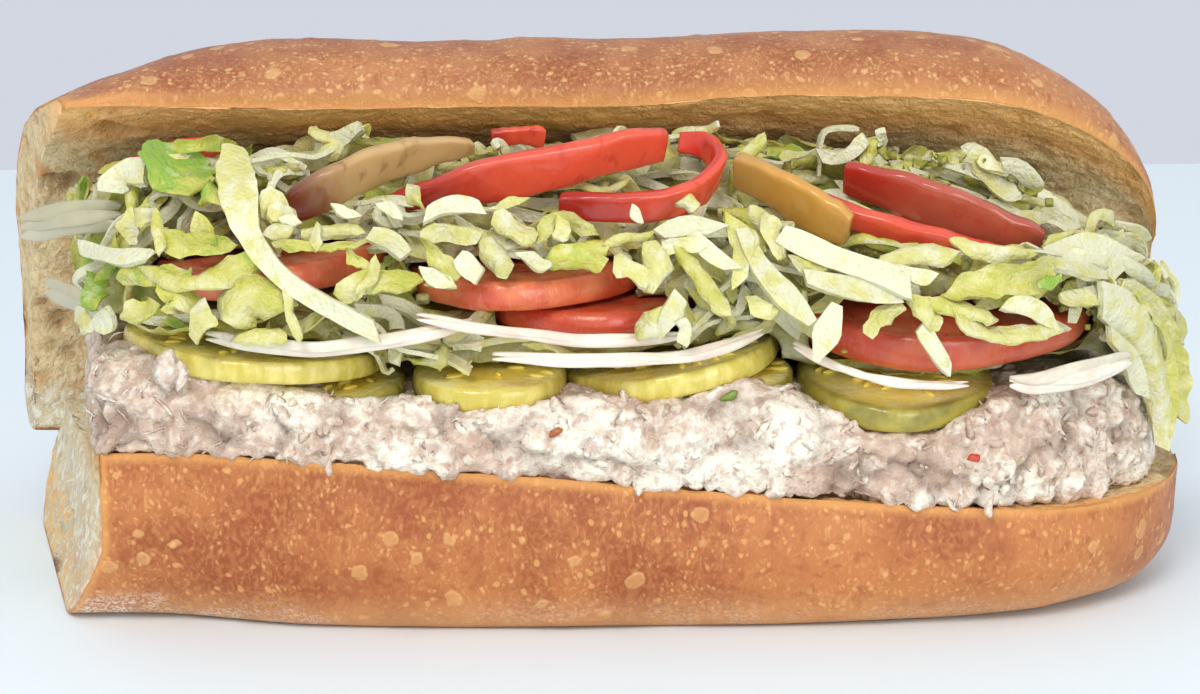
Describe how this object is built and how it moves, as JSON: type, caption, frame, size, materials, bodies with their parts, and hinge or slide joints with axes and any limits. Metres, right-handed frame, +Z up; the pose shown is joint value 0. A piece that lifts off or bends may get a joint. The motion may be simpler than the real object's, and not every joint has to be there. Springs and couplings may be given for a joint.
{
  "type": "tuna salad sandwich",
  "caption": "Half of a hinged long roll, open at the front, filled with tuna salad, pickle slices, onion, tomato, shredded lettuce and pepper strips.",
  "frame": {"origin": "on the flat bottom of the roll, below the middle of the filling", "axes": "+X along the roll towards its rounded end, -Y towards the open front, +Z up"},
  "size_m": [0.1939, 0.091, 0.0853],
  "materials": {
    "bread": "baked crust over pale crumb",
    "tuna": "moist, flaky",
    "lettuce": "crisp, slightly glossy",
    "pickle": "wet",
    "tomato": "wet",
    "onion": "wet, slightly translucent",
    "pepper_red": "wet, glossy",
    "pepper_yellow": "wet, glossy"
  },
  "bodies": {
    "root": {"lettuce_shreds": "lettuce", "onion_1": "onion", "onion_2": "onion", "onion_3": "onion", "onion_4": "onion", "onion_5": "onion", "onion_6": "onion", "onion_7": "onion", "pepper_red_1": "pepper_red", "pepper_red_2": "pepper_red", "pepper_red_3": "pepper_red", "pepper_red_4": "pepper_red", "pepper_red_5": "pepper_red", "pepper_red_6": "pepper_red", "pepper_yellow_1": "pepper_yellow", "pepper_yellow_2": "pepper_yellow", "pickle_1": "pickle", "pickle_2": "pickle", "pickle_3": "pickle", "pickle_4": "pickle", "pickle_5": "pickle", "pickle_6": "pickle", "roll": "bread", "tomato_1": "tomato", "tomato_2": "tomato", "tomato_3": "tomato", "tomato_4": "tomato", "tuna_salad": "tuna"}
  },
  "joints": []
}
